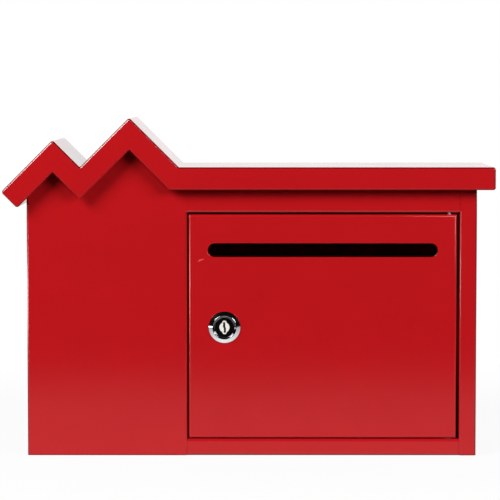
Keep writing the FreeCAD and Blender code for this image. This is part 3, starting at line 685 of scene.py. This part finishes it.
# Tumbler plates: thin plates across the plug that the key draws back.
# Half-hard brass, stamped, with a dull grain, painted dark with the same shade as the inside of the
# plug.
BRASS_BRIGHT = "#C7A24C"
BRASS_DULL = "#7F632B"
BRASS_ROUGHNESS = (0.3, 0.5)
STAMPING_GRAIN = 0.6 * MM
brass, tree, output = new_material("stamped_brass")
place = add(tree, "ShaderNodeTexCoord", {}).outputs["Object"]
grain = add(tree, "ShaderNodeTexNoise", {"Vector": place, "Scale": 1 / STAMPING_GRAIN, "Detail": 3.0})
colour = add(tree, "ShaderNodeMix", {"Factor": grain.outputs["Fac"], "A": linear(BRASS_BRIGHT),
                                     "B": linear(BRASS_DULL)}, data_type="RGBA")
gloss = add(tree, "ShaderNodeMapRange", {"Value": grain.outputs["Fac"], "To Min": BRASS_ROUGHNESS[0],
                                         "To Max": BRASS_ROUGHNESS[1]})
shader = add(tree, "ShaderNodeBsdfPrincipled", {"Base Color": colour.outputs["Result"], "Metallic": 1.0,
                                                "Roughness": gloss.outputs["Result"]})
tree.links.new(shader.outputs["BSDF"], output.inputs["Surface"])
# Painted shade: the plates darken through the plug's depth.
paint_recess_shade(tree, shader, start=0)
dress(nodes["lock_wafers"], brass)


# Tumbler springs: one coil under each plate's lug.
# Hard-drawn steel wire, finely mottled between grey and a straw temper colour.
WIRE_GREY = "#A3A3A2"
WIRE_STRAW = "#8C8474"
WIRE_ROUGHNESS = (0.22, 0.38)
WIRE_MOTTLE = 0.12 * MM
wire, tree, output = new_material("drawn_spring_steel")
place = add(tree, "ShaderNodeTexCoord", {}).outputs["Object"]
mottle = add(tree, "ShaderNodeTexNoise", {"Vector": place, "Scale": 1 / WIRE_MOTTLE, "Detail": 2.0})
colour = add(tree, "ShaderNodeMix", {"Factor": mottle.outputs["Fac"], "A": linear(WIRE_GREY),
                                     "B": linear(WIRE_STRAW)}, data_type="RGBA")
gloss = add(tree, "ShaderNodeMapRange", {"Value": mottle.outputs["Fac"], "To Min": WIRE_ROUGHNESS[0],
                                         "To Max": WIRE_ROUGHNESS[1]})
shader = add(tree, "ShaderNodeBsdfPrincipled", {"Base Color": colour.outputs["Result"], "Metallic": 1.0,
                                                "Roughness": gloss.outputs["Result"]})
tree.links.new(shader.outputs["BSDF"], output.inputs["Surface"])
dress(nodes["wafer_springs"], wire)


# Cam and its fixings: stop disc, tongue, split washer and hexagon screw on the plug's square end.
# Stamped and headed steel with the same bright zinc plate; the stamped edges are slightly rolled.
CAM_EASE = 0.2 * MM
screw_zinc, tree, shader = zinc_plate("shaded_zinc_plate", SATIN)
# Painted shade: the screw's plate darkens within the plug's depth.
paint_recess_shade(tree, shader, start=0)
for node_name in ("turn_stop", "lock_cam", "cam_washer", "cam_screw"):
    fixing = eased_copy(node_name, node_name + "_plated", CAM_EASE, 2)
    dress(fixing, screw_zinc if node_name == "cam_screw" else zinc)


# Studio floor: white paper. For bounce and reflections it carries a painted pool of light, brightest
# close to the box and darker towards its front edge; the camera sees it white with the box's faint
# shadow, and what shines sees it darker at a low angle, a painted reflection falloff.
FLOOR_FRONT = 760 * MM
FLOOR_BACK = 2500 * MM
FLOOR_HALF_WIDTH = 2500 * MM
FLOOR_GAP = 0.2 * MM
PAPER_SEEN = "#F4F4F4"
PAPER_NEAR = "#D4D4D4"
PAPER_FAR = "#404040"
PAPER_MIRRORED = "#000000"
PAPER_BRIGHT_TO = 250 * MM
PAPER_DARK_FROM = 690 * MM
PAPER_BOUNCE_FULL = 30 * MM
PAPER_BOUNCE_TO = 150 * MM
PAPER_EDGE_ON = 0.40
SHADOW_NEAR = 250 * MM
SHADOW_FAR = 600 * MM
SHADOW_SHARE = 0.08
base_z = cad_box[0][2]
front_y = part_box("left_panel")[0].y
floor_middle = (0, (front_y - FLOOR_FRONT + FLOOR_BACK) / 2, base_z - FLOOR_GAP)
bpy.ops.object.select_all(action="DESELECT")
bpy.ops.mesh.primitive_plane_add(size=1, location=floor_middle)
floor = bpy.context.object
floor.name = "studio_floor"
floor.scale = (2 * FLOOR_HALF_WIDTH, FLOOR_BACK + FLOOR_FRONT - front_y, 1)
bpy.ops.object.transform_apply(location=True, rotation=True, scale=True)
paper, tree, output = new_material("white_paper")
seen = add(tree, "ShaderNodeLightPath", {})
place = add(tree, "ShaderNodeTexCoord", {}).outputs["Object"]
parts = add(tree, "ShaderNodeSeparateXYZ", {"Vector": place})
lit = add(tree, "ShaderNodeMapRange", {"Value": parts.outputs["Y"],
                                       "From Min": front_y - PAPER_DARK_FROM,
                                       "From Max": front_y - PAPER_BRIGHT_TO},
          interpolation_type="SMOOTHSTEP")
near_box = add(tree, "ShaderNodeVectorMath", {0: place}, operation="LENGTH")
shadow = add(tree, "ShaderNodeMapRange", {"Value": near_box.outputs["Value"], "From Min": SHADOW_NEAR,
                                          "From Max": SHADOW_FAR, "To Min": 1 - SHADOW_SHARE},
             interpolation_type="SMOOTHSTEP")
close = add(tree, "ShaderNodeMapRange", {"Value": parts.outputs["Y"],
                                         "From Min": front_y - PAPER_BOUNCE_TO,
                                         "From Max": front_y - PAPER_BOUNCE_FULL},
            interpolation_type="SMOOTHSTEP")
# Painted light: the colour bounced onto the box is bright near it and dark further out.
bounce = add(tree, "ShaderNodeMix", {"Factor": close.outputs["Result"], "A": linear(PAPER_FAR),
                                     "B": linear(PAPER_NEAR)}, data_type="RGBA")
bounce = add(tree, "ShaderNodeMix", {"Factor": seen.outputs["Is Glossy Ray"],
                                     "A": bounce.outputs["Result"],
                                     "B": linear(PAPER_MIRRORED)}, data_type="RGBA")
shade = add(tree, "ShaderNodeMix", {"Factor": seen.outputs["Is Camera Ray"],
                                    "A": bounce.outputs["Result"],
                                    "B": linear(PAPER_SEEN)}, data_type="RGBA")
matt = add(tree, "ShaderNodeBsdfDiffuse", {"Color": shade.outputs["Result"]})
white = add(tree, "ShaderNodeEmission", {"Strength": 1.0})
low_angle = add(tree, "ShaderNodeLayerWeight", {"Blend": 0.5})
steep = add(tree, "ShaderNodeMapRange", {"Value": low_angle.outputs["Facing"], "To Min": 1.0,
                                         "To Max": PAPER_EDGE_ON})
# Painted reflection: what shines sees the paper glow, fading towards the front edge and at a low angle.
shine = add(tree, "ShaderNodeMath", {0: steep.outputs["Result"], 1: lit.outputs["Result"]},
            operation="MULTIPLY")
shine = add(tree, "ShaderNodeMath", {0: shine.outputs["Value"], 1: seen.outputs["Is Glossy Ray"]},
            operation="MULTIPLY")
share = add(tree, "ShaderNodeMath", {0: shadow.outputs["Result"], 1: seen.outputs["Is Camera Ray"],
                                     2: shine.outputs["Value"]}, operation="MULTIPLY_ADD")
mixed = add(tree, "ShaderNodeMixShader", {"Fac": share.outputs["Value"], 1: matt.outputs["BSDF"],
                                          2: white.outputs["Emission"]})
tree.links.new(mixed.outputs["Shader"], output.inputs["Surface"])
dress(floor, paper)


# Studio light: softboxes at the front corners, two low pale boards at the left, two weak boxes behind.
# The camera sees white all round; what shines sees the white backdrop behind and a dark room.
def softbox(name, azimuth, elevation, distance, size, radiance):
    """A softbox aimed at the origin; its azimuth is 0 straight in front and positive to the right."""
    width, height = size
    lamp = bpy.data.lights.new(name, "AREA")
    lamp.shape = "RECTANGLE"
    lamp.size = width
    lamp.size_y = height
    lamp.energy = radiance * math.pi * width * height
    holder = bpy.data.objects.new(name, lamp)
    turn = math.radians(azimuth)
    rise = math.radians(elevation)
    level = math.cos(rise)
    towards = Vector((math.sin(turn) * level, -math.cos(turn) * level, math.sin(rise)))
    holder.location = towards * distance
    holder.rotation_euler = towards.to_track_quat("Z", "Y").to_euler()
    bpy.context.scene.collection.objects.link(holder)


softbox("front_left_softbox", azimuth=-39.5, elevation=31.0, distance=1.6,
        size=(0.80, 0.55), radiance=13.2)
softbox("front_right_softbox", azimuth=40.0, elevation=20.5, distance=1.6,
        size=(0.94, 0.51), radiance=10.7)
softbox("left_card", azimuth=-54, elevation=-2.2, distance=1.2, size=(0.30, 0.13), radiance=5.0)
softbox("left_board", azimuth=-98, elevation=-4.1, distance=1.0, size=(1.8, 0.08), radiance=6.0)
softbox("back_left_softbox", azimuth=-125, elevation=14, distance=1.8, size=(0.9, 0.9), radiance=4.0)
softbox("back_right_softbox", azimuth=125, elevation=14, distance=1.8, size=(0.9, 0.9), radiance=4.0)

# The backdrop's edges, as shares of a direction's length along +Y and +Z.
BACKDROP_SIDE = (0.80, 0.92)
BACKDROP_TOP = (0.26, 0.42)
ROOM_SHINE = 0.004
ROOM_FILL = 0.006
world = bpy.data.worlds.new("dim_studio")
bpy.context.scene.world = world
world.use_nodes = True
tree = world.node_tree
tree.nodes.clear()
seen = add(tree, "ShaderNodeLightPath", {})
way = add(tree, "ShaderNodeTexCoord", {})
parts = add(tree, "ShaderNodeSeparateXYZ", {"Vector": way.outputs["Generated"]})
behind = add(tree, "ShaderNodeMapRange", {"Value": parts.outputs["Y"], "From Min": BACKDROP_SIDE[0],
                                          "From Max": BACKDROP_SIDE[1]},
             interpolation_type="SMOOTHSTEP")
low = add(tree, "ShaderNodeMapRange", {"Value": parts.outputs["Z"], "From Min": BACKDROP_TOP[0],
                                       "From Max": BACKDROP_TOP[1], "To Min": 1.0, "To Max": 0.0},
          interpolation_type="SMOOTHSTEP")
backdrop = add(tree, "ShaderNodeMath", {0: behind.outputs["Result"], 1: low.outputs["Result"]},
               operation="MULTIPLY")
shiny = add(tree, "ShaderNodeMath", {0: seen.outputs["Is Glossy Ray"],
                                     1: seen.outputs["Is Transmission Ray"]}, operation="MAXIMUM")
shown = add(tree, "ShaderNodeMath", {0: shiny.outputs["Value"], 1: backdrop.outputs["Value"]},
            operation="MULTIPLY")
shown = add(tree, "ShaderNodeMath", {0: shown.outputs["Value"], 1: seen.outputs["Is Camera Ray"]},
            operation="MAXIMUM")
dim = add(tree, "ShaderNodeMapRange", {"Value": seen.outputs["Is Diffuse Ray"], "To Min": ROOM_SHINE,
                                       "To Max": ROOM_FILL})
level = add(tree, "ShaderNodeMix", {"Factor": shown.outputs["Value"], "A": dim.outputs["Result"],
                                    "B": 1.0}, data_type="FLOAT")
sky = add(tree, "ShaderNodeBackground", {"Color": linear("#FFFFFF"),
                                         "Strength": level.outputs["Result"]})
add(tree, "ShaderNodeOutputWorld", {"Surface": sky.outputs["Background"]})


# Camera: a long lens, straight in front and a little above the roof.
# Its place was solved from the corners of the door, slot, cabinet and roof; its angles are radians.
CAMERA_PLACE = (6.7 * MM, -2000.0 * MM, 179.3 * MM)
CAMERA_DIP = 0.06906
CAMERA_TURN = 0.00422
LENS_LENGTH = 177.19
SENSOR_WIDTH = 36
camera_data = bpy.data.cameras.new("camera")
camera_data.lens = LENS_LENGTH
camera_data.sensor_width = SENSOR_WIDTH
camera = bpy.data.objects.new("camera", camera_data)
camera.location = CAMERA_PLACE
camera.rotation_euler = (math.pi / 2 - CAMERA_DIP, 0, CAMERA_TURN)
bpy.context.scene.collection.objects.link(camera)
bpy.context.scene.camera = camera
bpy.context.scene.view_settings.view_transform = "Standard"
